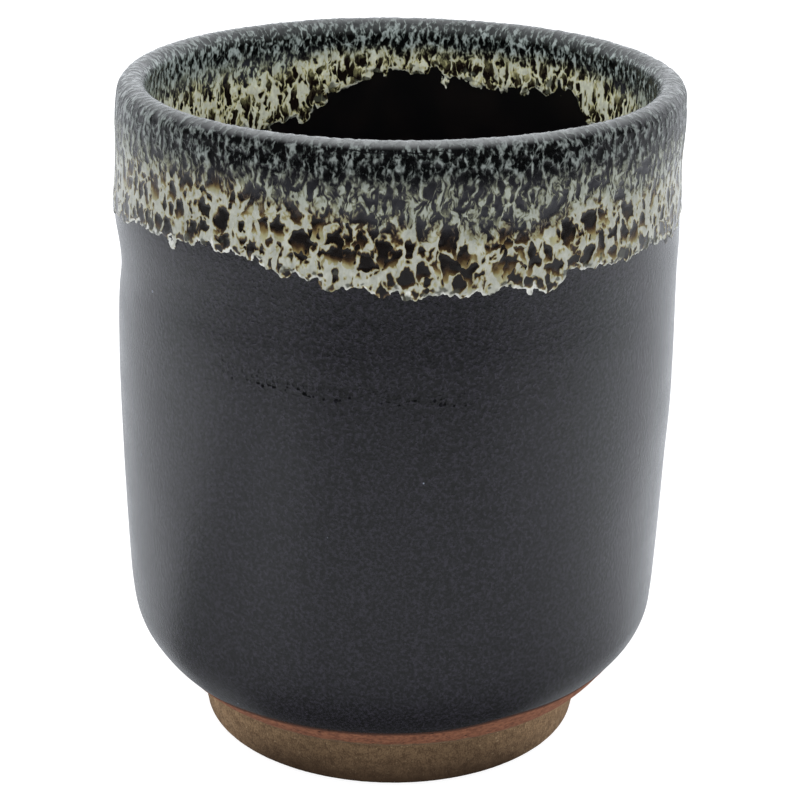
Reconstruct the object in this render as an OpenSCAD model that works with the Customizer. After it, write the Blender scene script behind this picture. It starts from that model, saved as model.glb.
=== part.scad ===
// Yunomi: a tall tea cup without a handle, thrown in stoneware on a trimmed
// foot ring. A black glaze covers the wall inside and out, and a pale ash
// glaze over it runs down from the lip. All sizes are in millimetres, +Z is
// up, and the origin is the centre of the foot on the table.

/* [Cup] */
// Height from the table to the top of the lip
cup_h = 90; // [80:1:105]
// Largest outside diameter, on the black glaze
body_d = 74.1; // [68:0.1:84]
// Thickness of the finished lip, clay and glazes together
lip_t = 4; // [3.4:0.1:5]
// How much thicker the clay wall is at mid height than at the lip
wall_swell = 1; // [0.4:0.1:2.5]
// Thickness of the clay floor above the foot ring
floor_t = 5.4; // [4:0.1:7]
// Height of the turn where the underside runs into the wall
turn_z = 17; // [15:0.5:22]

/* [Foot ring] */
// Height of the foot ring
foot_h = 6.6; // [4.5:0.1:8]
// Outside diameter of the foot ring where it meets the cup
foot_d = 53.8; // [46:0.2:56]
// How much narrower the foot ring is at the table, on the diameter
foot_taper = 2.2; // [0:0.1:4]
// Width of the foot ring along the radius, at the table
foot_w = 4.6; // [3.6:0.1:7]
// Radius of the two worn edges that touch the table
foot_edge = 0.6; // [0.3:0.1:1.2]

/* [Glazes] */
// Thickness of the black glaze
glaze_t = 0.4; // [0.2:0.05:0.6]
// Thickness of the pale glaze that lies over the black one
rim_t = 0.35; // [0.2:0.05:0.5]
// Mean height of the line where the black glaze stops and bare clay begins
glaze_line = 11.9; // [10:0.1:14]
// How far the pale glaze reaches down the outside of the lip
rim_out = 17; // [10:0.5:28]
// How far the pale glaze reaches down the inside of the lip
rim_in = 11; // [6:0.5:24]

/* [Hidden] */
$fn = 144;

// Spacing of the points along a profile
step = 2;

clay_r = body_d / 2 - glaze_t;             // largest radius of the clay
foot_r = foot_d / 2;
foot_low_r = foot_r - foot_taper / 2;
foot_in_r = foot_low_r - foot_w;
lip_r = lip_t / 2 - glaze_t - rim_t;       // radius of the clay lip
lip_z = cup_h - lip_t / 2;                 // centre height of the rounded lip
lip_c = clay_r - 0.8 - lip_r;              // centre radius of the rounded lip
floor_z = foot_h + floor_t;
in_r = clay_r - 2 * lip_r - wall_swell;    // inside radius of the clay at mid height

// Trimmed underside, from the foot ring out to the turn: [share of the width, share of the height]
UNDER = [[0, 0], [0.15, 0.05], [0.31, 0.14], [0.44, 0.25], [0.6, 0.43], [0.8, 0.66], [0.93, 0.84], [1, 1]];
// Outer wall above the turn: [clay inside the largest radius, share of the height up to the lip]
WALL = [[0.9, 0.045], [0.62, 0.11], [0.34, 0.21], [0.1, 0.35], [0, 0.52], [0.2, 0.635], [0.45, 0.72], [0.5, 0.77], [0.48, 0.82], [0.66, 0.89], [0.66, 0.95], [0.8, 1]];
// Inner wall, from the lip down to the floor: [clay inside the mid radius, share of the height above the floor]
INNER = [[-0.35, 0.93], [-0.3, 0.82], [-0.15, 0.66], [0, 0.48], [0.25, 0.31], [0.6, 0.19], [1.5, 0.115], [3.4, 0.066], [6.4, 0.033], [10.6, 0.012], [17, 0.002]];

turn_r = clay_r - 1.35;
under_pts = [for (k = UNDER) [foot_r + k[0] * (turn_r - foot_r), foot_h + k[1] * (turn_z - foot_h)]];
wall_pts = [for (k = WALL) [clay_r - k[0], turn_z + k[1] * (lip_z - turn_z)]];
inner_pts = concat(
    [[lip_c - lip_r, lip_z]],
    [for (k = INNER) [in_r - k[0], floor_z + k[1] * (lip_z - floor_z)]],
    [[0, floor_z]]);

// A smooth curve through knots, with points about step apart
function slope(K, i) =
    i == 0 ? (K[1] - K[0]) / norm(K[1] - K[0]) :
    i == len(K) - 1 ? (K[i] - K[i - 1]) / norm(K[i] - K[i - 1]) :
    let (a = norm(K[i] - K[i - 1]), b = norm(K[i + 1] - K[i]))
        ((K[i] - K[i - 1]) * b / a + (K[i + 1] - K[i]) * a / b) / (a + b);
function bend(p, q, m, n, t) =
    p * (2 * t * t * t - 3 * t * t + 1) + m * (t * t * t - 2 * t * t + t)
    + q * (3 * t * t - 2 * t * t * t) + n * (t * t * t - t * t);
function curve(K) = concat(
    [for (i = [0 : len(K) - 2])
        let (l = norm(K[i + 1] - K[i]), n = ceil(l / step))
            for (j = [0 : n - 1]) bend(K[i], K[i + 1], slope(K, i) * l, slope(K, i + 1) * l, j / n)],
    [K[len(K) - 1]]);

// The clay surface as one line: underside, outer wall, lip, inner wall, floor
outer_line = curve(concat(under_pts, wall_pts));
lip_line = [for (a = [15 : 15 : 165]) [lip_c + lip_r * cos(a), lip_z + lip_r * sin(a)]];
inner_line = curve(inner_pts);
CLAY = concat(outer_line, lip_line, inner_line);
last = len(CLAY) - 1;
crown = len(outer_line) + 5;               // the lip's highest point

// Unit normal that points out of the clay, flat at the centre of the floor
function out(i) =
    i == last ? [0, 1] :
    let (d = CLAY[min(i + 1, last)] - CLAY[max(i - 1, 0)]) [d[1], -d[0]] / norm(d);
// The clay surface moved outwards by t at point i
function lift(i, t) = CLAY[i] + out(i) * t;
// Height share that rises from 0 at z = a to 1 at z = b
function rise(z, a, b) = let (t = min(1, max(0, (z - a) / (b - a)))) sqrt(t * (2 - t));

// First point of the outer wall above a height, and last point of the inner wall above one
function first_above(z) = min([for (i = [0 : crown]) if (CLAY[i][1] >= z) i]);
function last_above(z) = max([for (i = [crown : last]) if (CLAY[i][1] >= z) i]);
glaze_from = first_above(glaze_line);
rim_from = first_above(cup_h - rim_out);
rim_to = last_above(cup_h - rim_in);
rim_low_out = CLAY[rim_from][1];
rim_low_in = CLAY[rim_to][1];

function black(i) = i <= crown ? glaze_t * (0.25 + 0.75 * rise(CLAY[i][1], CLAY[glaze_from][1], CLAY[glaze_from][1] + 2)) : glaze_t;
function pale(i) = rim_t * (i <= crown
    ? rise(CLAY[i][1], rim_low_out, rim_low_out + 2.5)
    : rise(CLAY[i][1], rim_low_in, rim_low_in + 2.5));

// Thrown wall, floor and trimmed underside, one body of clay
module stoneware_body() {
    color([0.42, 0.31, 0.23])
    rotate_extrude()
    polygon(concat([[0, foot_h]], CLAY));
}

// Foot ring that the cup stands on, joined on under the floor
module foot_ring() {
    e = foot_edge;
    color([0.40, 0.32, 0.24])
    rotate_extrude()
    polygon(concat(
        [for (a = [-90 : 15 : 0]) [foot_low_r - e + e * cos(a), e + e * sin(a)]],
        [[foot_low_r + 0.62 * foot_taper / 2, foot_h * 0.5], [foot_r, foot_h], [foot_in_r - 0.3, foot_h]],
        [for (a = [180 : 15 : 270]) [foot_in_r + e + e * cos(a), e + e * sin(a)]]));
}

// Black glaze on the outside, from the glaze line up to the crown of the lip
module outer_glaze() {
    color([0.06, 0.06, 0.075])
    rotate_extrude()
    polygon(concat(
        [for (i = [glaze_from : crown]) CLAY[i]],
        [for (i = [crown : -1 : glaze_from]) i == crown ? CLAY[i] + [0, glaze_t] : lift(i, black(i))]));
}

// Black glaze on the inside, from the crown of the lip down over the floor
module liner_glaze() {
    color([0.04, 0.035, 0.045])
    rotate_extrude()
    polygon(concat(
        [for (i = [crown : last]) CLAY[i]],
        [for (i = [last : -1 : crown]) i == crown ? CLAY[i] + [0, glaze_t] : lift(i, glaze_t)]));
}

// Pale ash glaze that hangs over the lip on both sides
module rim_glaze() {
    color([0.78, 0.76, 0.66])
    rotate_extrude()
    polygon(concat(
        [for (i = [rim_from : rim_to]) i == crown ? CLAY[i] + [0, glaze_t] : lift(i, glaze_t)],
        [for (i = [rim_to - 1 : -1 : rim_from + 1]) i == crown ? CLAY[i] + [0, glaze_t + rim_t] : lift(i, glaze_t + pale(i))]));
}

stoneware_body();
foot_ring();
outer_glaze();
liner_glaze();
rim_glaze();
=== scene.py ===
import math

import bpy
import numpy as np
from mathutils import Euler, Matrix, Vector


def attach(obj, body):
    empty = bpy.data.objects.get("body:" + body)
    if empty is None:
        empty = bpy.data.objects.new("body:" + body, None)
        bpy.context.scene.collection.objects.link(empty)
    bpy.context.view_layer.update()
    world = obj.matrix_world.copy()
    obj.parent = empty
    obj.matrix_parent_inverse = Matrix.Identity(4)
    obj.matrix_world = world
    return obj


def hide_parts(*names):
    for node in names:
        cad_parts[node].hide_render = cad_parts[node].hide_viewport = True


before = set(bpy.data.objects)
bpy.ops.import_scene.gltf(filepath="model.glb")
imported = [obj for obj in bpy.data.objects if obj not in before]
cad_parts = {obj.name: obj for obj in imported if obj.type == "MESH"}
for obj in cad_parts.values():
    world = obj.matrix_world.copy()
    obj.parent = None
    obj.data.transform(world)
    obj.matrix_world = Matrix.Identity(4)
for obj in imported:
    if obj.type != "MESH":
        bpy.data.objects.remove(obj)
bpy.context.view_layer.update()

MM = 0.001

# ---------------------------------------------------------------- camera
# Placed from the cup's outline: 269 mm in front of the axis, 151 mm above the table.
cam_data = bpy.data.cameras.new("camera")
cam = bpy.data.objects.new("camera", cam_data)
bpy.context.scene.collection.objects.link(cam)
cam_data.sensor_width = 36.0
cam_data.lens = 95.53
cam_data.clip_start, cam_data.clip_end = 0.01, 20.0
turn = Matrix.Rotation(math.radians(-0.181), 4, "Z") @ Matrix.Rotation(math.radians(90 - 21.6), 4, "X") @ Matrix.Rotation(math.radians(0.9), 4, "Z")
cam.matrix_world = Matrix.Translation((0.0, -0.2689, 0.151)) @ turn
bpy.context.scene.camera = cam


# ---------------------------------------------------------------- node helper
class Net:
    """Writes nodes into a shader tree or a geometry tree, so that relief and colour come from one pattern."""

    def __init__(self, tree):
        self.t = tree

    def new(self, kind, **props):
        n = self.t.nodes.new(kind)
        for k, v in props.items():
            setattr(n, k, v)
        return n

    def put(self, socket, value):
        if isinstance(value, bpy.types.NodeSocket):
            self.t.links.new(value, socket)
        else:
            socket.default_value = value

    def math(self, op, a, b=None, c=None, clamp=False):
        n = self.new("ShaderNodeMath", operation=op, use_clamp=clamp)
        for i, v in enumerate((a, b, c)):
            if v is not None:
                self.put(n.inputs[i], v)
        return n.outputs[0]

    def add(self, a, b):
        return self.math("ADD", a, b)

    def sub(self, a, b):
        return self.math("SUBTRACT", a, b)

    def mul(self, a, b):
        return self.math("MULTIPLY", a, b)

    def mad(self, a, b, c):
        return self.math("MULTIPLY_ADD", a, b, c)

    def div(self, a, b):
        return self.math("DIVIDE", a, b)

    def low(self, a, b):
        return self.math("MINIMUM", a, b)

    def high(self, a, b):
        return self.math("MAXIMUM", a, b)

    def ramp(self, a, lo, hi, to_lo=0.0, to_hi=1.0, smooth=True):
        n = self.new("ShaderNodeMapRange")
        n.interpolation_type = "SMOOTHSTEP" if smooth else "LINEAR"
        n.clamp = True
        for i, v in enumerate((a, lo, hi, to_lo, to_hi)):
            self.put(n.inputs[i], v)
        return n.outputs[0]

    def vec(self, x, y, z):
        n = self.new("ShaderNodeCombineXYZ")
        for i, v in enumerate((x, y, z)):
            self.put(n.inputs[i], v)
        return n.outputs[0]

    def parts(self, v):
        n = self.new("ShaderNodeSeparateXYZ")
        self.put(n.inputs[0], v)
        return n.outputs[0], n.outputs[1], n.outputs[2]

    def vmath(self, op, a, b=None):
        n = self.new("ShaderNodeVectorMath", operation=op)
        self.put(n.inputs[0], a)
        if b is not None:
            self.put(n.inputs[1], b)
        return n.outputs["Value"] if op in ("LENGTH", "DISTANCE", "DOT_PRODUCT") else n.outputs["Vector"]

    def stretched(self, p, sx, sz, off=(0.0, 0.0, 0.0)):
        """p in mm, divided by sx round the cup and sz along the wall."""
        return self.vmath("ADD", self.vmath("MULTIPLY", p, (1.0 / sx, 1.0 / sx, 1.0 / sz)), off)

    def noise(self, p, sx, sz, off, detail=0.0, rough=0.5, color=False):
        n = self.new("ShaderNodeTexNoise", noise_dimensions="3D")
        self.put(n.inputs["Vector"], self.stretched(p, sx, sz, off))
        self.put(n.inputs["Scale"], 1.0)
        self.put(n.inputs["Detail"], detail)
        self.put(n.inputs["Roughness"], rough)
        return n.outputs["Color" if color else "Fac"]

    def centred(self, *a, **k):
        return self.sub(self.noise(*a, **k), 0.5)

    def cells(self, q, sx, sz, off, edge=True):
        """Cells sx by sz mm: distance to the edge, distance and height from the cell's centre, and three random values."""
        v = self.stretched(q, sx, sz, off)
        e = None
        if edge:
            n = self.new("ShaderNodeTexVoronoi", voronoi_dimensions="3D", feature="DISTANCE_TO_EDGE")
            self.put(n.inputs["Vector"], v)
            self.put(n.inputs["Scale"], 1.0)
            e = n.outputs["Distance"]
        n = self.new("ShaderNodeTexVoronoi", voronoi_dimensions="3D", feature="F1")
        self.put(n.inputs["Vector"], v)
        self.put(n.inputs["Scale"], 1.0)
        d = self.vmath("SUBTRACT", v, n.outputs["Position"])
        up = self.mul(self.parts(d)[2], -1.0)
        return e, n.outputs["Distance"], up, self.parts(n.outputs["Color"])

    def mixf(self, a, b, f):
        n = self.new("ShaderNodeMix", data_type="FLOAT")
        self.put(n.inputs[0], f)
        self.put(n.inputs[2], a)
        self.put(n.inputs[3], b)
        return n.outputs[0]

    def mixc(self, a, b, f):
        n = self.new("ShaderNodeMix", data_type="RGBA")
        self.put(n.inputs[0], f)
        self.put(n.inputs[6], a)
        self.put(n.inputs[7], b)
        return n.outputs[2]


def srgb(r, g, b):
    def f(c):
        c /= 255.0
        return c / 12.92 if c <= 0.04045 else ((c + 0.055) / 1.055) ** 2.4

    return (f(r), f(g), f(b), 1.0)


# ---------------------------------------------------------------- profiles, in mm
CUP_H, BODY_D, LIP_T = 90.0, 74.1, 4.0
FOOT_H, FOOT_R, FOOT_LOW_R, FOOT_W, FLOOR_T, TURN_Z = 6.6, 26.8, 26.0, 4.6, 5.4, 17.0
GLAZE_T, RIM_T = 0.4, 0.35
CLAY_R = BODY_D / 2 - GLAZE_T
LIP_R = LIP_T / 2 - GLAZE_T - RIM_T
LIP_Z = CUP_H - LIP_T / 2
LIP_C = CLAY_R - 0.8 - LIP_R
FLOOR_Z = FOOT_H + FLOOR_T
IN_R = CLAY_R - 2 * LIP_R - 1.0
UNDER = [(0, 0), (0.15, 0.05), (0.31, 0.14), (0.455, 0.25), (0.63, 0.43), (0.825, 0.66), (0.94, 0.84), (1, 1)]
WALL = [(0.9, 0.045), (0.62, 0.11), (0.34, 0.21), (0.1, 0.35), (0, 0.52), (0.2, 0.635), (0.45, 0.72), (0.5, 0.77), (0.48, 0.82), (0.66, 0.89), (0.66, 0.95), (0.8, 1)]
INNER = [(-0.35, 0.93), (-0.3, 0.82), (-0.15, 0.66), (0, 0.48), (0.25, 0.31), (0.6, 0.19), (1.5, 0.115), (3.4, 0.066), (6.4, 0.033), (10.6, 0.012), (17, 0.002)]


def curve(knots, step):
    K = np.array(knots, float)
    n = len(K)
    seg = np.linalg.norm(np.diff(K, axis=0), axis=1)
    m = np.zeros_like(K)
    m[0], m[-1] = (K[1] - K[0]) / seg[0], (K[-1] - K[-2]) / seg[-1]
    for i in range(1, n - 1):
        a, b = seg[i - 1], seg[i]
        m[i] = ((K[i] - K[i - 1]) * b / a + (K[i + 1] - K[i]) * a / b) / (a + b)
    out = []
    for i in range(n - 1):
        k = max(1, int(math.ceil(seg[i] / step)))
        t = (np.arange(k) / k)[:, None]
        out.append(K[i] * (2 * t**3 - 3 * t**2 + 1) + m[i] * seg[i] * (t**3 - 2 * t**2 + t) + K[i + 1] * (3 * t**2 - 2 * t**3) + m[i + 1] * seg[i] * (t**3 - t**2))
    out.append(K[-1:])
    return np.concatenate(out)


def clay_path(step=0.1):
    """The clay surface in (radius, height), from the foot ring's top edge out, up, over the lip, down inside and to the middle of the floor."""
    tr = CLAY_R - 1.35
    under = [(FOOT_R + a * (tr - FOOT_R), FOOT_H + b * (TURN_Z - FOOT_H)) for a, b in UNDER]
    wall = [(CLAY_R - a, TURN_Z + b * (LIP_Z - TURN_Z)) for a, b in WALL]
    inner = [(LIP_C - LIP_R, LIP_Z)] + [(IN_R - a, FLOOR_Z + b * (LIP_Z - FLOOR_Z)) for a, b in INNER] + [(0.0, FLOOR_Z)]
    a = np.radians(np.arange(4, 177, 4.0))
    lip = np.stack([LIP_C + LIP_R * np.cos(a), LIP_Z + LIP_R * np.sin(a)], -1)
    return np.concatenate([curve(under + wall, step), lip, curve(inner, step)])


class Path:
    """A profile line with its length and unit normals, which point to the left of its direction reversed, out of the clay."""

    def __init__(self, pts):
        self.p = np.asarray(pts, float)
        d = np.gradient(self.p, axis=0)
        n = np.stack([d[:, 1], -d[:, 0]], -1)
        n /= np.linalg.norm(n, axis=1, keepdims=True)
        for _ in range(2):
            n[1:-1] = (n[:-2] + 2 * n[1:-1] + n[2:]) / 4
            n /= np.linalg.norm(n, axis=1, keepdims=True)
        self.n = n
        self.l = np.concatenate([[0], np.cumsum(np.linalg.norm(np.diff(self.p, axis=0), axis=1))])

    def at(self, l):
        p = np.stack([np.interp(l, self.l, self.p[:, k]) for k in (0, 1)], -1)
        n = np.stack([np.interp(l, self.l, self.n[:, k]) for k in (0, 1)], -1)
        return p, n / np.linalg.norm(n, axis=-1, keepdims=True)


CLAY = Path(clay_path())
CROWN = CLAY.l[int(np.argmax(CLAY.p[:, 1]))]          # length along the clay up to the lip's highest point
OUT = CLAY.l < CROWN


def length_out(z):
    """Length along the clay at height z on the outside."""
    return np.interp(z, CLAY.p[OUT][:, 1], CLAY.l[OUT])


def length_in(z):
    return np.interp(-np.asarray(z, float), -CLAY.p[~OUT][:, 1], CLAY.l[~OUT])


def knots_round(knots, theta):
    """Smooth closed curve through (angle in degrees from the front, value) knots."""
    a = np.radians([k[0] for k in knots])
    v = np.array([k[1] for k in knots], float)
    n = len(a)
    a = np.append(a, a[0] + 2 * math.pi)
    v = np.append(v, v[0])
    t = (theta - a[0]) % (2 * math.pi) + a[0]
    i = np.clip(np.searchsorted(a, t, side="right") - 1, 0, n - 1)
    h = np.diff(a)
    d = np.diff(v) / h
    m = np.array([(d[(k - 1) % n] * h[k % n] + d[k % n] * h[(k - 1) % n]) / (h[(k - 1) % n] + h[k % n]) for k in range(n + 1)])
    u = (t - a[i]) / h[i]
    return v[i] * (2 * u**3 - 3 * u**2 + 1) + m[i] * h[i] * (u**3 - 2 * u**2 + u) + v[i + 1] * (3 * u**2 - 2 * u**3) + m[i + 1] * h[i] * (u**3 - u**2)


# Lower edge of the ash glaze outside and inside, and the glaze line above the foot: degrees from the front, height in mm
EDGE_OUT = [(-180, 73.4), (-150, 72.6), (-120, 74.2), (-95, 73.2), (-80, 73.0), (-67, 73.6), (-55, 75.0), (-48, 74.6), (-38, 75.5), (-30, 74.9), (-21, 73.8), (-12, 72.9), (-2, 72.0), (8, 71.5), (20, 71.8), (30, 71.8), (38, 73.2), (46, 72.4), (57, 73.0), (66, 72.6), (80, 73.4), (100, 74.4), (125, 72.6), (150, 73.8)]
EDGE_IN = [(-177, 82.2), (-171, 80.6), (-162, 79.3), (-158, 77.2), (-149, 75.3), (-138, 75.0), (-120, 75.2), (-95, 75.8), (-60, 77.5), (-30, 78.5), (0, 78.0), (30, 77.0), (60, 76.0), (90, 75.6), (114, 76.6), (123, 78.0), (130, 79.4), (134, 82.0), (139, 82.2), (148, 80.6), (158, 80.8), (170, 81.6)]
GLAZE_LINE = [(-180, 10.9), (-140, 10.2), (-90, 10.1), (-60, 10.3), (-46, 10.4), (-36, 10.8), (-23, 11.1), (0, 11.45), (14, 11.7), (26, 12.5), (45, 12.6), (60, 13.2), (90, 13.2), (130, 12.4)]


# ---------------------------------------------------------------- meshes
def smooth(x, a, b):
    t = np.clip((x - a) / (b - a), 0, 1)
    return t * t * (3 - 2 * t)


LIP_OUT = float(length_out(LIP_Z))                    # length along the clay where the lip's round starts, outside
LIP_IN = 2 * CROWN - LIP_OUT


def below_crown(l):
    """Distance from the lip's crown along the finished surface, positive outside, negative inside."""
    d = CROWN - l
    arc = CROWN - LIP_OUT
    k = np.minimum(np.abs(d), arc)
    return np.sign(d) * (k * (LIP_T / 2 / LIP_R) + np.maximum(np.abs(d) - arc, 0))


# dents and swellings of the thrown wall: angle, height, half width in degrees, half height in mm, depth in mm
DENTS = [(-90, 80, 40, 9, -0.22), (-90, 72.4, 35, 3, -0.45), (-88, 65.2, 24, 3, 0.3), (-90, 90, 35, 2.2, 0.3), (95, 86, 50, 5, -0.18), (90, 70, 35, 4, -0.25), (90, 79, 35, 3, 0.1), (90, 46, 36, 5, -0.15), (90, 36, 36, 14, 0.2), (95, 30, 24, 14, -0.12), (90, 16.5, 40, 3, -0.25), (150, 40, 30, 16, 0.25), (-150, 55, 26, 12, -0.15)]


def settle(r, th, z):
    """Turns radius, angle and height of the true shape into a point of the slightly uneven cup."""
    k = smooth(z, 7, 30)
    r = r + k * (0.09 * np.cos(2 * (th - 0.5)) + 0.05 * np.cos(3 * th + 1.1)) * smooth(r, 2, 20)
    for a, h, wa, wh, depth in DENTS:
        da = (np.degrees(th) - a + 180) % 360 - 180
        r = r - depth * smooth(r, 15, 30) * np.exp(-((da / wa) ** 2) - ((z - h) / wh) ** 2)
    z = z + 0.15 * np.sin(th) * smooth(z, 60, 90) * smooth(r, 15, 30)
    return np.stack([r * np.sin(th) + 0.0032 * z, -r * np.cos(th), z], -1)


def rings(name, nodes, th, r, z, n_r, n_z, v, e, open_ends=False):
    """A closed skin from rows of points round the cup. Rows run along a closed profile, or from one end on the axis to the other."""
    rows, cols = r.shape
    co = settle(r, th[None, :] + 0 * r, z).reshape(-1, 3)
    idx = np.arange(rows * cols).reshape(rows, cols)
    nxt = np.roll(idx, -1, axis=1)
    last = rows - 1 if open_ends else rows
    a, b = idx[:last], nxt[:last]
    c, d = np.roll(nxt, -1, axis=0)[:last], np.roll(idx, -1, axis=0)[:last]
    faces = np.stack([a, b, c, d], -1).reshape(-1, 4).tolist()
    k = 37 * np.minimum(1, r / (FOOT_LOW_R - 0.1))  # flat faces under the cup and on its floor take the pattern flat
    gp = np.stack([k * np.sin(th)[None, :], -k * np.cos(th)[None, :], v], -1).reshape(-1, 3)
    gn = np.stack([n_r * np.sin(th)[None, :], -n_r * np.cos(th)[None, :], n_z], -1).reshape(-1, 3)
    ge = e.reshape(-1)
    gz = z.reshape(-1)
    gr = r.reshape(-1)
    if open_ends:
        for row, flip in ((0, True), (rows - 1, False)):
            k = len(co)
            co = np.vstack([co, co[idx[row]].mean(axis=0)])
            gp = np.vstack([gp, [0, 0, v[row].mean()]])
            gn = np.vstack([gn, [0, 0, 0]])
            ge, gz, gr = np.append(ge, e[row].mean()), np.append(gz, z[row].mean()), np.append(gr, 0.0)
            for i in range(cols):
                p, q = int(idx[row, i]), int(nxt[row, i])
                faces.append([k, q, p] if flip else [k, p, q])
    me = bpy.data.meshes.new(name)
    me.from_pydata((co * MM).tolist(), [], faces)
    me.polygons.foreach_set("use_smooth", [True] * len(me.polygons))
    for key, kind, field, data in (("gp", "FLOAT_VECTOR", "vector", gp), ("gn", "FLOAT_VECTOR", "vector", gn), ("ge", "FLOAT", "value", ge), ("gz", "FLOAT", "value", gz), ("gr", "FLOAT", "value", gr)):
        at = me.attributes.new(key, kind, "POINT")
        at.data.foreach_set(field, np.ascontiguousarray(data, dtype=np.float32).ravel())
    me.update()
    ob = bpy.data.objects.new(name, me)
    bpy.context.scene.collection.objects.link(ob)
    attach(ob, "root")
    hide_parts(*nodes)
    return ob


def displace(ob, relief):
    """Moves the points along gn by relief(...) mm with the same node maths that colours the surface, and applies it."""
    tree = bpy.data.node_groups.new(ob.name + "_relief", "GeometryNodeTree")
    tree.interface.new_socket("Geometry", in_out="INPUT", socket_type="NodeSocketGeometry")
    tree.interface.new_socket("Geometry", in_out="OUTPUT", socket_type="NodeSocketGeometry")
    start, end = tree.nodes.new("NodeGroupInput"), tree.nodes.new("NodeGroupOutput")
    g = Net(tree)

    def named(key, kind):
        n = g.new("GeometryNodeInputNamedAttribute", data_type=kind)
        n.inputs["Name"].default_value = key
        return n.outputs["Attribute"]

    at = dict(p=named("gp", "FLOAT_VECTOR"), e=named("ge", "FLOAT"), z=named("gz", "FLOAT"), r=named("gr", "FLOAT"))
    h = relief(g, at)
    off = g.new("ShaderNodeVectorMath", operation="SCALE")
    g.put(off.inputs[0], named("gn", "FLOAT_VECTOR"))
    g.put(off.inputs["Scale"], g.mul(h, MM))
    sp = g.new("GeometryNodeSetPosition")
    tree.links.new(start.outputs[0], sp.inputs["Geometry"])
    g.put(sp.inputs["Offset"], off.outputs["Vector"])
    tree.links.new(sp.outputs[0], end.inputs[0])
    mod = ob.modifiers.new("relief", "NODES")
    mod.node_group = tree
    dg = bpy.context.evaluated_depsgraph_get()
    made = bpy.data.meshes.new_from_object(ob.evaluated_get(dg))
    ob.modifiers.clear()
    old = ob.data
    ob.data = made
    made.name = ob.name
    bpy.data.meshes.remove(old)
    bpy.data.node_groups.remove(tree)
    ob.data.attributes.remove(ob.data.attributes["gn"])


def spaced(a, b, step):
    return np.linspace(a, b, max(2, int(round(abs(b - a) / step)) + 1))


def round_angles(n):
    return -math.pi + 2 * math.pi * (np.arange(n) + 0.5) / n


def skin(name, nodes, th, front, back, open_ends=False):
    """front and back are (lengths along the clay, lift off it, how much of the relief they take). The back closes the skin behind the front."""
    r, z, nr, nz, v = [], [], [], [], []
    for l, t, m in (back, front) if open_ends else (front, back):
        l, t, m = (np.asarray(a, float) + 0 * th[None, :] for a in (l, t, m))
        p, n = CLAY.at(l)
        r.append(p[..., 0] + n[..., 0] * t)
        z.append(p[..., 1] + n[..., 1] * t)
        nr.append(n[..., 0] * m)
        nz.append(n[..., 1] * m)
        v.append(below_crown(l))
    r, z, nr, nz, v = (np.vstack(a) for a in (r, z, nr, nz, v))
    e = z - np.where(v > 0, knots_round(EDGE_OUT, th)[None, :], knots_round(EDGE_IN, th)[None, :])
    return rings(name, nodes, th, r, z, nr, nz, v, e, open_ends)


# Outer black glaze: from its uneven line above the foot up to the crown, with a thick rounded edge at the line
th = round_angles(480)
line = length_out(knots_round(GLAZE_LINE, th))[None, :]
near = np.concatenate([[0, 0.12, 0.3, 0.5, 0.75, 1.0, 1.3, 1.7], spaced(2.2, 9.8, 0.45)])[:, None] + line
far = near[-1] + (CROWN - near[-1]) * spaced(0, 1, 1 / 140)[1:, None]
l = np.vstack([near, far])
d = l - line
t = -0.05 + 0.30 * (1 - np.exp(-((d / 0.8) ** 0.9))) + 0.15 * smooth(d, 1, 9)
back = CROWN + (line - CROWN) * spaced(0, 1, 1 / 24)[:-1, None]
outer = skin("outer_black_glaze", ["outer_glaze"], th, (l, t, smooth(d, 0, 0.6)), (back, -0.05, 0))

# Liner: the black glaze inside, from the crown down the wall and over the floor
th = round_angles(360)
end = CLAY.l[-1] - 0.8
l = np.concatenate([spaced(CROWN, LIP_IN + 1, 0.4), spaced(LIP_IN + 1, end, 0.75)[1:]])[:, None]
back = np.concatenate([spaced(end, LIP_IN + 1, 2), spaced(LIP_IN + 1, CROWN, 0.5)[1:]])[:, None]
liner = skin("liner_black_glaze", ["liner_glaze"], th, (l, GLAZE_T, 1), (back, -0.05, 0), open_ends=True)

# Ash glaze over the lip: from past its ragged lower edge outside to past the one inside
th = round_angles(672)
low_out = length_out(knots_round(EDGE_OUT, th) - 2.4)[None, :]
low_in = length_in(knots_round(EDGE_IN, th) - 2.4)[None, :]
rows = 58
a, b = CROWN - 2.6, CROWN + 2.6
l = np.vstack([low_out + (a - low_out) * spaced(0, 1, 1 / rows)[:, None], spaced(a, b, 0.22)[1:, None] + 0 * low_out, b + (low_in - b) * spaced(0, 1, 1 / 42)[1:, None]])
m = np.ones_like(l)
m[0] = m[-1] = 0
back = np.vstack([low_in + (b - low_in) * spaced(0, 1, 1 / 6)[:, None], spaced(b, a, 0.6)[1:, None] + 0 * low_in, a + (low_out - a) * spaced(0, 1, 1 / 6)[1:, None]])
rim = skin("ash_rim_glaze", ["rim_glaze"], th, (l, GLAZE_T - 0.06, m), (back, GLAZE_T - 0.14, 0))

# Clay body: the bare trimmed underside is fine, and what the glazes cover is coarse
th = round_angles(480)
bare = float(length_out(14.5))
l = np.concatenate([spaced(0, bare, 0.3), spaced(bare, LIP_OUT, 3)[1:], spaced(LIP_OUT, LIP_IN, 0.35)[1:], spaced(LIP_IN, CLAY.l[-1] - 1.2, 3)[1:]])
p, n = CLAY.at(l)
under_r = spaced(0.8, FOOT_R, 0.6)[:-1]
r = np.concatenate([under_r, p[:, 0]])[:, None] + 0 * th[None, :]
z = np.concatenate([0 * under_r + FOOT_H, p[:, 1]])[:, None] + 0 * th[None, :]
lv = np.concatenate([0 * under_r, l])
m = smooth(lv, 0.0, 0.8) * (1 - smooth(lv, bare - 1, bare))
m[: len(under_r)] = 1 - smooth(under_r, 19.5, 20.8)
nr = (np.concatenate([0 * under_r, n[:, 0]]) * m)[:, None] + 0 * th[None, :]
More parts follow.
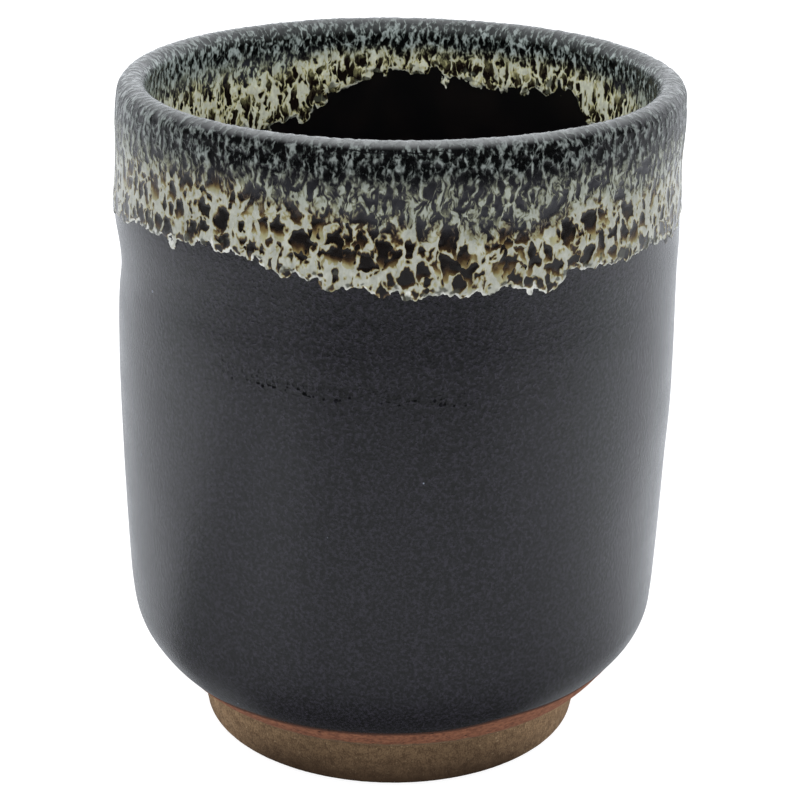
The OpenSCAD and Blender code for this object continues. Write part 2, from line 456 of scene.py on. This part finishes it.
nz = (np.concatenate([0 * under_r - 1, n[:, 1]]) * m)[:, None] + 0 * th[None, :]
clay = rings("clay_body", ["stoneware_body"], th, r, z, nr, nz, z.copy(), z - knots_round(GLAZE_LINE, th)[None, :], open_ends=True)

# Foot ring: slightly rounded shoulder, worn bottom edges
k = 0.6
arc = np.radians(np.arange(-90, 1, 11.25))
prof = [(FOOT_LOW_R - k + k * math.cos(a), k + k * math.sin(a)) for a in arc]
prof += [(FOOT_LOW_R + 0.62 * (FOOT_R - FOOT_LOW_R), FOOT_H * 0.5), (FOOT_R - 0.12, FOOT_H - 0.45), (FOOT_R - 0.08, FOOT_H - 0.12), (FOOT_R - 0.2, FOOT_H + 0.0)]
inner_r = FOOT_LOW_R - FOOT_W
prof += [(inner_r - 0.3, FOOT_H)] + [(inner_r + k + k * math.cos(a), k + k * math.sin(a)) for a in np.radians(np.arange(180, 271, 11.25))] + [(FOOT_LOW_R - k, 0)]
fine = [prof[0]]
for q in prof[1:]:
    a = np.array(fine[-1])
    q = np.array(q)
    for s in range(1, max(1, int(math.ceil(np.linalg.norm(q - a) / 0.3))) + 1):
        fine.append(tuple(a + (q - a) * s / max(1, int(math.ceil(np.linalg.norm(q - a) / 0.3)))))
P = np.array(fine[:-1])
d = np.roll(P, -1, axis=0) - np.roll(P, 1, axis=0)
n = np.stack([d[:, 1], -d[:, 0]], -1)
n /= np.linalg.norm(n, axis=1, keepdims=True)
m = np.where((P[:, 1] > FOOT_H - 0.25) | (P[:, 1] < 0.1), 0.0, 1.0)
full = lambda a: a[:, None] + 0 * th[None, :]
foot = rings("clay_foot_ring", ["foot_ring"], th, full(P[:, 0]), full(P[:, 1]), full(n[:, 0] * m), full(n[:, 1] * m), full(P[:, 1]), full(P[:, 1]) - knots_round(GLAZE_LINE, th)[None, :])


# ---------------------------------------------------------------- the ash glaze's pattern
def ash(g, p, e):
    """p is the place on the skin in mm, its z the distance from the crown, and e the height above the mean lower edge."""
    s = g.math("ABSOLUTE", g.parts(p)[2])
    w1 = g.vmath("MULTIPLY", g.vmath("SUBTRACT", g.noise(p, 2.4, 3.2, (3.1, 7.7, 1.3), detail=1.0, color=True), (0.5, 0.5, 0.5)), (2.2, 2.2, 3.0))
    w2 = g.vmath("MULTIPLY", g.vmath("SUBTRACT", g.noise(p, 0.7, 1.0, (13.1, 2.7, 9.3), detail=1.0, color=True), (0.5, 0.5, 0.5)), (0.7, 0.7, 0.9))
    w3 = g.vmath("MULTIPLY", g.vmath("SUBTRACT", g.noise(p, 1.3, 1.8, (5.1, 1.7, 4.3), detail=1.0, color=True), (0.5, 0.5, 0.5)), (1.2, 1.2, 1.4))
    q = g.vmath("ADD", g.vmath("ADD", p, w1), g.vmath("ADD", w2, w3))
    nz = g.centred(p, 3.0, 5.0, (1.7, 4.4, 2.2), detail=1.0)
    n1 = g.centred(p, 1.6, 4.0, (9.5, 4.1, 0.0), detail=2.0, rough=0.55)
    n2 = g.centred(p, 0.5, 0.9, (2.5, 0.1, 5.0), detail=2.0, rough=0.6)
    n3 = g.centred(p, 1.3, 1.7, (6.5, 3.3, 8.0), detail=2.0, rough=0.6)
    nb = g.centred(p, 1.0, 1.3, (0.5, 6.1, 1.0), detail=2.0, rough=0.55)
    e2 = g.mad(nz, 5.0, e)
    s2 = g.mad(nz, 2.0, s)
    front = g.ramp(g.parts(p)[1], -22.0, -35.0)
    inside = g.ramp(g.parts(p)[2], -0.5, -3.0)
    # lower zone: rounded islands, crisp above and fading below, with small dots between them
    f = g.mad(inside, 0.45, 1.0)
    qi = g.vmath("MULTIPLY", q, g.vec(f, f, 1.0))
    ed, r, dz, rnd = g.cells(qi, 2.0, 3.0, (5.5, 1.1, 0.4))
    low = g.low(g.mul(g.sub(ed, g.mad(n1, -0.8, 0.135)), 1.5), g.sub(g.mad(rnd[0], 0.5, 0.50), r))
    low = g.add(g.mad(nb, 0.45, low), g.mixf(g.ramp(e, 3.5, 2.0, 0.02, 0.10), g.ramp(e, 1.5, 3.5, 0.05, 0.12), front))
    low_k = g.low(g.div(low, 0.07), g.mul(g.add(g.mad(rnd[1], 0.25, dz), g.mad(n3, 0.5, 0.5)), 2.6))
    _, r2, dz2, rnd2 = g.cells(q, 0.9, 1.1, (2.5, 6.1, 3.4), edge=False)
    dots = g.mul(g.sub(g.mad(rnd2[0], 0.9, -0.40), r2), 7.0)
    low_k = g.high(low_k, dots)
    # middle zone: soft grey patches between tall wandering pale strokes
    em, rm, dm, rndm = g.cells(q, 1.3, 2.6, (1.5, 8.1, 3.4))
    nm = g.centred(q, 0.7, 2.1, (4.2, 2.9, 7.7), detail=2.0, rough=0.6)
    mid = g.mad(nm, 5.0, g.mul(g.sub(em, g.mad(n1, -0.6, 0.09)), 2.6))
    mid_k = g.low(g.mad(mid, 2.6, 0.55), g.mul(g.add(g.mad(rndm[1], 0.3, dm), g.mad(n3, 0.7, 0.62)), 3.2))
    mid_k = g.mad(g.centred(p, 0.35, 1.8, (3.5, 0.4, 9.0), detail=1.0), 1.1, mid_k)
    # top zone: small black cells between pale dripping strands
    et, rt, dt, rndt = g.cells(q, 1.0, 1.6, (4.5, 2.1, 7.4))
    nt = g.centred(p, 0.75, 1.3, (8.5, 5.1, 2.0), detail=2.0, rough=0.6)
    top_k = g.div(g.add(g.mul(g.sub(et, -0.02), 0.9), g.mul(nt, 1.3)), 0.15)
    lower = g.ramp(e2, 9.6, 6.2)
    upper = g.ramp(s2, 7.6, 4.4)
    k = g.mixf(g.mixf(mid_k, low_k, g.mul(lower, g.mad(inside, -0.2, 1.0))), top_k, upper)
    k = g.mad(inside, -0.15, k)
    k = g.mad(g.mul(g.ramp(g.parts(p)[0], -20.0, -32.0), g.ramp(e, 8.0, 10.5)), -0.5, k)
    k = g.mad(n2, g.mad(lower, -0.5, 1.1), k)
    # scalloped lower edge
    _, rl, _, _ = g.cells(g.vmath("ADD", p, g.vmath("MULTIPLY", w2, (0.5, 0.5, 0.5))), 2.3, 2.2, (3.5, 9.1, 6.4), edge=False)
    ragged = g.add(g.mad(g.sub(0.5, rl), g.mad(inside, 1.2, 1.7), e), g.mul(g.centred(p, 2.6, 2.6, (7.5, 3.1, 1.0), detail=3.0, rough=0.55), 3.9))
    ragged = g.mad(g.centred(p, 0.9, 2.4, (2.7, 6.2, 5.5), detail=1.0), g.mad(inside, 0.2, 1.6), ragged)
    ragged = g.low(ragged, g.add(e, g.mad(inside, 0.3, 1.3)))
    window = g.mul(g.ramp(g.centred(p, 1.5, 1.2, (8.1, 3.3, 5.2), detail=1.0), 0.02, 0.10), g.ramp(ragged, 1.5, 0.9))
    x, y, v = g.parts(p)
    # a thin line about 2 mm below the crown, in front and at the right: a slight groove in the relief, and a painted
    # dark reflection in the colour
    where = g.mul(g.high(g.ramp(g.math("ABSOLUTE", g.add(x, 1.0)), 9.0, 5.0), g.ramp(x, 30.0, 32.0)), g.ramp(y, 0.0, -2.0))
    groove_and_painted_reflection = g.mul(g.ramp(g.math("ABSOLUTE", g.sub(v, g.mad(n1, 1.0, 2.1))), 0.16, 0.05), where)
    # mask of the lip's front, where the crown's painted sheen is strongest
    front_painted_sheen = g.mul(g.ramp(g.parts(p)[1], -28.0, -35.5), g.ramp(g.parts(p)[2], -1.6, 0.0))
    return dict(k=k, front_painted_sheen=front_painted_sheen, groove_and_painted_reflection=groove_and_painted_reflection, window=window, n2=n2, lower=lower, upper=upper, ragged=ragged, n1=n1, n3=n3, front=front, inside=inside, crown=g.mixf(g.ramp(s, 1.9, 0.5), g.ramp(s, 3.6, 0.5), inside))


def ash_color(g, o):
    lower, upper = o["lower"], o["upper"]
    skirt = g.mul(g.ramp(o["ragged"], 0.75, 0.2), g.ramp(o["n1"], -0.15, 0.1, 0.0, 1.9))
    t = g.sub(g.mad(o["n3"], -0.5, o["k"]), skirt)

    def zone(mid, low, top):
        return g.mixc(g.mixc(mid, low, lower), top, upper)

    white = zone(srgb(160, 165, 153), g.mixc(srgb(178, 180, 168), srgb(186, 185, 166), o["inside"]), srgb(138, 145, 141))
    cream = zone(srgb(124, 126, 104), g.mixc(srgb(162, 158, 119), srgb(170, 163, 118), o["inside"]), srgb(92, 98, 94))
    amber = zone(srgb(86, 87, 76), g.mixc(srgb(124, 106, 64), srgb(100, 96, 66), o["inside"]), srgb(50, 55, 52))
    brown = zone(srgb(58, 58, 58), g.mixc(srgb(62, 45, 28), srgb(44, 38, 27), o["inside"]), srgb(20, 23, 22))
    edge = zone(srgb(42, 42, 46), srgb(17, 11, 8), srgb(4, 5, 5))
    c = g.mixc(white, cream, g.ramp(t, -1.0, 0.1))
    c = g.mixc(c, amber, g.ramp(t, 0.0, 0.55))
    c = g.mixc(c, brown, g.ramp(t, 0.4, 1.0))
    c = g.mixc(c, edge, g.ramp(t, 0.85, 1.55))
    c = g.mixc(c, srgb(66, 67, 56), g.mul(o["window"], 0.85))
    bright = g.mul(g.ramp(o["ragged"], 0.7, 0.2), g.mul(g.ramp(g.add(o["n1"], o["n3"]), -0.08, 0.15), g.mul(g.ramp(t, 0.5, 0.0), g.mad(o["inside"], -0.7, 1.0))))
    c = g.mixc(c, srgb(218, 219, 212), bright)
    # grey over the lip's crown: partly the thinned glaze's grey haze, partly a painted reflection of the bright sky,
    # stronger on the front
    c = g.mixc(c, srgb(150, 152, 150), g.mul(o["crown"], g.mixf(0.45, 0.8, o["front_painted_sheen"])))
    # painted reflection: a near-black line under the lip's crown stands in for a dark thing reflected there
    c = g.mixc(c, srgb(10, 11, 12), g.mul(o["groove_and_painted_reflection"], 0.9))
    # painted light: the ash colour is made 2.1 times lighter on the inner band and a little lighter in front than at
    # the sides, standing in for the light that falls there
    painted_light_level = g.mixf(g.mixf(0.9, 0.96, o["front"]), 2.1, o["inside"])
    painted_light_level = g.mul(painted_light_level, g.mad(g.add(o["n2"], o["n3"]), 0.7, 0.97))
    return g.vmath("MULTIPLY", c, g.vec(g.mul(painted_light_level, g.mad(o["inside"], -0.03, 1.0)), painted_light_level, painted_light_level))


def ash_relief(g, at):
    o = ash(g, at["p"], at["e"])
    skin_up = g.ramp(o["ragged"], -0.3, 0.5, 0.0, 0.22)
    pale_up = g.mul(g.ramp(o["k"], 1.2, -0.2, 0.0, 0.07), g.ramp(o["ragged"], -0.1, 0.5))
    return g.add(g.mad(o["groove_and_painted_reflection"], -0.04, g.add(skin_up, pale_up)), black_relief(g, at))


def black_relief(g, at):
    p = at["p"]
    h = g.mul(g.centred(p, 60.0, 2.4, (0.3, 2.2, 4.1), detail=1.0), 0.035)
    h = g.mad(g.centred(p, 24.0, 15.0, (5.3, 1.2, 0.1)), 0.16, h)
    h = g.mad(g.centred(p, 6.0, 1.2, (1.3, 8.2, 2.1)), 0.012, h)
    return h


def clay_relief(g, at):
    p = at["p"]
    h = g.mul(g.centred(p, 40.0, 0.5, (0.3, 2.2, 4.1), detail=2.0), 0.05)
    h = g.mad(g.centred(p, 0.8, 0.8, (5.3, 1.2, 0.1), detail=2.0), 0.06, h)
    return h


displace(outer, black_relief)
displace(liner, black_relief)
displace(rim, ash_relief)
displace(clay, clay_relief)
displace(foot, clay_relief)


# ---------------------------------------------------------------- materials
def material(ob, name, build, **fixed):
    mat = bpy.data.materials.new(name)
    mat.use_nodes = True
    tree = mat.node_tree
    tree.nodes.clear()
    g = Net(tree)
    out = g.new("ShaderNodeOutputMaterial")
    bsdf = g.new("ShaderNodeBsdfPrincipled")
    tree.links.new(bsdf.outputs[0], out.inputs["Surface"])
    for key, value in fixed.items():
        bsdf.inputs[key.replace("_", " ")].default_value = value

    def named(key, output):
        n = g.new("ShaderNodeAttribute", attribute_name=key, attribute_type="GEOMETRY")
        return n.outputs[output]

    at = dict(p=named("gp", "Vector"), e=named("ge", "Fac"), z=named("gz", "Fac"), r=named("gr", "Fac"))
    color, rough, height = build(g, at)
    g.put(bsdf.inputs["Base Color"], color)
    g.put(bsdf.inputs["Roughness"], rough)
    bump = g.new("ShaderNodeBump")
    bump.inputs["Distance"].default_value = MM
    g.put(bump.inputs["Height"], height)
    tree.links.new(bump.outputs[0], bsdf.inputs["Normal"])
    ob.data.materials.clear()
    ob.data.materials.append(mat)
    return mat


def dim(g, color):
    """A colour as it should look in the picture, made darker by what the studio light adds."""
    return g.vmath("MULTIPLY", color, (0.7, 0.7, 0.69))


def black_look(g, at):
    p = at["p"]
    cloud = g.noise(p, 9.0, 7.0, (3.3, 1.2, 7.1), detail=2.0)
    fine = g.noise(p, 0.45, 0.45, (1.3, 8.2, 2.1), detail=3.0, rough=0.75)
    color = g.mixc((0.0003, 0.0003, 0.0005, 1), (0.0142, 0.0127, 0.0186, 1), g.ramp(fine, 0.43, 0.64, smooth=False))
    rough = g.ramp(cloud, 0.3, 0.7, 0.18, 0.24)
    peel = g.mul(fine, 0.055)
    # a slanting row of pinholes in clusters, and a few pale specks
    x, y, v = g.parts(p)
    row = g.math("ABSOLUTE", g.sub(v, g.mad(x, 0.045, 31.6)))
    row = g.add(row, g.mul(g.centred(p, 3.5, 3.0, (4.1, 0.2, 6.6)), 3.0))
    row = g.mul(g.ramp(row, 1.4, 0.5), g.mul(g.ramp(x, -22.0, -18.0), g.ramp(x, 10.0, 6.5)))
    _, r, _, rnd = g.cells(p, 0.62, 0.62, (2.2, 5.1, 0.7), edge=False)
    pits = g.mul(g.ramp(g.mad(rnd[0], -0.42, r), 0.14, 0.02), g.mul(row, g.ramp(y, 0.0, -1.0)))
    color = g.mixc(color, (0.0, 0.0, 0.0, 1), pits)
    peel = g.mad(pits, -0.25, peel)
    _, r, _, _ = g.cells(p, 6.5, 6.5, (7.2, 1.1, 3.7), edge=False)
    color = g.mixc(color, (0.16, 0.18, 0.22, 1), g.ramp(r, 0.026, 0.015))
    return color, rough, peel


def liner_look(g, at):
    p = at["p"]
    cloud = g.noise(p, 7.0, 9.0, (2.3, 1.9, 7.1), detail=2.0)
    color = g.mixc((0.0025, 0.0022, 0.003, 1), (0.006, 0.0042, 0.004, 1), g.ramp(cloud, 0.4, 0.7))
    peel = g.mul(g.centred(p, 0.9, 0.9, (4.3, 3.2, 2.2), detail=2.0), 0.010)
    return color, 0.3, peel


def ash_look(g, at):
    o = ash(g, at["p"], at["e"])
    band = g.ramp(o["ragged"], -0.06, 0.06)
    color = g.mixc((0.0035, 0.0035, 0.0045, 1), dim(g, ash_color(g, o)), band)
    rough = g.mixf(0.24, 0.2, band)
    height = g.mul(g.ramp(o["k"], 1.2, -0.2, 0.0, 0.05), band)
    return color, rough, height


def stoneware(g, p):
    """Sandy brown clay: its colour and its grain, with painted side light that makes the colour up to about twice as
    light towards the cup's left and right.
    """
    grain = g.noise(p, 0.28, 0.28, (3.3, 1.2, 7.1), detail=3.0, rough=0.7)
    patch = g.noise(p, 1.4, 1.0, (1.3, 8.2, 2.1), detail=2.0)
    brown = g.mixc(srgb(72, 56, 40), srgb(110, 90, 67), g.ramp(g.mad(patch, 0.3, g.mul(grain, 0.7)), 0.36, 0.64))
    sand = g.ramp(g.noise(p, 0.6, 0.5, (5.3, 0.2, 2.1), detail=1.0), 0.68, 0.76)
    brown = g.mixc(brown, srgb(136, 118, 92), g.mul(sand, 0.6))
    # painted side light: the clay's colour is multiplied from 1 up to 2.05 towards the left and right of the cup
    side = g.ramp(g.math("ABSOLUTE", g.parts(p)[0]), 15.0, 35.0, 1.0, 2.05, smooth=False)
    return g.vmath("MULTIPLY", brown, g.vec(side, side, side)), grain, side


def clay_look(g, at):
    p = at["p"]
    brown, grain, side = stoneware(g, p)
    mottle = g.noise(p, 0.7, 0.5, (4.3, 2.2, 0.1), detail=3.0, rough=0.65)
    red = g.mixc(srgb(88, 53, 38), srgb(120, 78, 56), g.ramp(mottle, 0.3, 0.7))
    red = g.mixc(srgb(60, 38, 30), red, g.ramp(at["e"], -0.05, -0.7))
    # painted side light on the red flashing too, at 0.4 of the clay's strength
    painted_side_light_red = g.mad(side, 0.4, 0.6)
    red = g.vmath("MULTIPLY", red, g.vec(painted_side_light_red, painted_side_light_red, painted_side_light_red))
    wave = g.centred(p, 2.0, 0.6, (6.3, 0.2, 1.1), detail=2.0)
    flash = g.ramp(g.mad(wave, 1.4, g.mad(g.sub(grain, 0.5), 0.8, at["z"])), 8.0, 8.9)
    color = g.mixc(brown, red, g.mul(flash, g.ramp(at["r"], 25.0, 26.5)))
    _, r, _, _ = g.cells(p, 2.4, 1.0, (1.2, 3.1, 5.7), edge=False)
    pit = g.ramp(r, 0.13, 0.07)
    color = g.mixc(color, srgb(30, 20, 16), pit)
    height = g.mad(grain, 0.06, g.mul(g.noise(p, 20.0, 0.35, (0.3, 0.2, 0.1), detail=1.0), 0.03))
    return color, 0.85, g.mad(pit, -0.1, height)


def foot_look(g, at):
    p = at["p"]
    brown, grain, _ = stoneware(g, p)
    # painted shade: the foot's colour darkens towards the floor, most in front and less towards the lit sides
    painted_floor_shade = g.ramp(g.mad(g.centred(p, 3.0, 1.5, (6.3, 0.2, 1.1), detail=2.0), 1.5, at["z"]), 6.5, 0.2, smooth=False)
    color = g.mixc(brown, srgb(40, 27, 16), g.mul(painted_floor_shade, g.ramp(g.math("ABSOLUTE", g.parts(p)[0]), 20.0, 33.0, 0.95, 0.35)))
    height = g.mad(grain, 0.06, g.mul(g.noise(p, 20.0, 0.35, (0.3, 0.2, 0.1), detail=1.0), 0.03))
    return color, 0.9, height


material(outer, "black_glaze", black_look, IOR=1.45)
material(liner, "liner_glaze", liner_look, IOR=1.45)
material(rim, "ash_glaze", ash_look, IOR=1.36)
material(clay, "body_clay", clay_look, IOR=1.2)
material(foot, "foot_clay", foot_look, IOR=1.2)


# ---------------------------------------------------------------- floor, light
def plain(name, build):
    mat = bpy.data.materials.new(name)
    mat.use_nodes = True
    mat.node_tree.nodes.clear()
    g = Net(mat.node_tree)
    out = g.new("ShaderNodeOutputMaterial")
    mat.node_tree.links.new(build(g), out.inputs["Surface"])
    return mat


def paper(g):
    """Pale backlit paper: most of its brightness is its own, so that the cup's shadow on it stays faint."""
    diffuse, glow, both = g.new("ShaderNodeBsdfDiffuse"), g.new("ShaderNodeEmission"), g.new("ShaderNodeAddShader")
    diffuse.inputs["Color"].default_value = (0.42, 0.42, 0.42, 1)
    glow.inputs["Strength"].default_value = 0.8
    g.t.links.new(diffuse.outputs[0], both.inputs[0])
    g.t.links.new(glow.outputs[0], both.inputs[1])
    return both.outputs[0]


bpy.ops.mesh.primitive_plane_add(size=6.0, location=(0, 0, 0))
floor = bpy.context.object
floor.name = "floor"
floor.data.materials.append(plain("floor_paper", paper))


def only_mirrored(ob):
    """A studio card that shows in reflections only."""
    ob.visible_camera = ob.visible_diffuse = ob.visible_transmission = ob.visible_shadow = ob.visible_volume_scatter = False


def table_light(g):
    """What the gloss sees of the table: bright at the sides, greyer in front, a dark sheet beyond it, and black past the paper's front edge."""
    n = g.new("ShaderNodeNewGeometry")
    x, y, _ = g.parts(n.outputs["Position"])
    az = g.math("ARCTAN2", x, g.mul(y, -1.0))
    far = g.vmath("LENGTH", n.outputs["Position"])
    az_abs = g.math("ABSOLUTE", az)

    def ramp(v, lo, hi, a=0.0, b=1.0):
        return g.ramp(v, lo, hi, a, b, smooth=False)

    def turn(v, lo, hi, a=0.0, b=1.0):
        return g.ramp(v, math.radians(lo), math.radians(hi), a, b, smooth=False)

    # right of the sheet, then left of it with a slanting shaded strip
    right = g.mul(turn(az_abs, 40, 76, 0.98, 1.42), g.mixf(ramp(far, 0.08, 0.18, 0.78, 1.0), 1.0, turn(az_abs, 80, 100)))
    lo = g.mul(turn(az_abs, 48, 72, 1.1, 0.61), g.mixf(ramp(far, 0.085, 0.12, 0.8, 1.0), 1.0, turn(az_abs, 55, 70)))
    hi = g.add(ramp(far, 0.085, 0.15, 1.13, 1.33), ramp(far, 0.085, 0.055, 0.0, 0.35))
    strip = g.mad(y, 0.95, g.mad(x, -1.0, -0.071))
    left = g.mixf(lo, hi, g.high(g.ramp(strip, -0.002, 0.012), g.ramp(y, -0.0115, -0.0065)))
    v = g.mixf(right, left, turn(az, 0, -20))
    v = g.mul(v, g.mul(turn(az_abs, 100, 128, 1.0, 0.88), turn(az_abs, 128, 178, 1.0, 0.65)))
    inside = g.mul(g.ramp(g.mad(far, 0.35, az), math.radians(-29.3), math.radians(-27.3)), turn(az, 44, 34))
    v = g.mixf(v, g.ramp(y, -0.130, -0.144, 0.79, 0.66), inside)
    near = g.mixf(ramp(far, 0.034, 0.054, 0.12, 0.6), ramp(far, 0.024, 0.042, 0.2, 0.55), turn(az_abs, 38, 56))
    v = g.mul(v, g.add(near, ramp(far, 0.048, 0.082, 0.0, 0.45)))
    v = g.mul(v, g.mul(g.mixf(ramp(far, 0.225, 0.262, 1.0, 1.32), 1.0, turn(az_abs, 50, 75)), ramp(far, 0.222, 0.258, 1.0, 1.34)))
    spot = g.mul(g.mul(turn(az, 27, 38), turn(az, 52, 45)), g.mul(ramp(far, 0.115, 0.13), ramp(far, 0.162, 0.148)))
    v = g.mul(v, g.mad(spot, 0.15, 1.0))
    v = g.mul(v, g.high(g.ramp(far, 0.302, 0.290), turn(az_abs, 65, 130, 0.0, 0.7)))
    glow = g.new("ShaderNodeEmission")
    glow.inputs["Color"].default_value = (0.965, 1.0, 1.055, 1)
    g.put(glow.inputs["Strength"], v)
    return glow.outputs[0]


bpy.ops.mesh.primitive_plane_add(size=5.0, location=(0, 0, 0.0004))
card = bpy.context.object
card.name = "table_card"
card.data.materials.append(plain("table_card", table_light))
only_mirrored(card)


def sky_light(g):
    """What the gloss sees above the table: a bright wall and ceiling behind the cup, and a dark room in front and at the sides."""
    n = g.new("ShaderNodeNewGeometry")
    up = g.new("ShaderNodeVectorMath", operation="NORMALIZE")
    g.put(up.inputs[0], n.outputs["Position"])
    d = g.vmath("DOT_PRODUCT", up.outputs["Vector"], (0.0, 0.82, 0.57))
    glow = g.new("ShaderNodeEmission")
    glow.inputs["Color"].default_value = (0.965, 1.0, 1.055, 1)
    g.put(glow.inputs["Strength"], g.ramp(d, 0.25, 0.62, 0.10, 1.5))
    return glow.outputs[0]


bpy.ops.mesh.primitive_uv_sphere_add(segments=48, ring_count=24, radius=2.4, location=(0, 0, 0))
dome = bpy.context.object
dome.name = "sky_card"
dome.data.materials.append(plain("sky_card", sky_light))
only_mirrored(dome)

world = bpy.data.worlds.new("studio")
bpy.context.scene.world = world
world.use_nodes = True
world.node_tree.nodes["Background"].inputs["Color"].default_value = (0.97, 0.985, 1.04, 1)
world.node_tree.nodes["Background"].inputs["Strength"].default_value = 1.45
bpy.context.scene.view_settings.view_transform = "Standard"
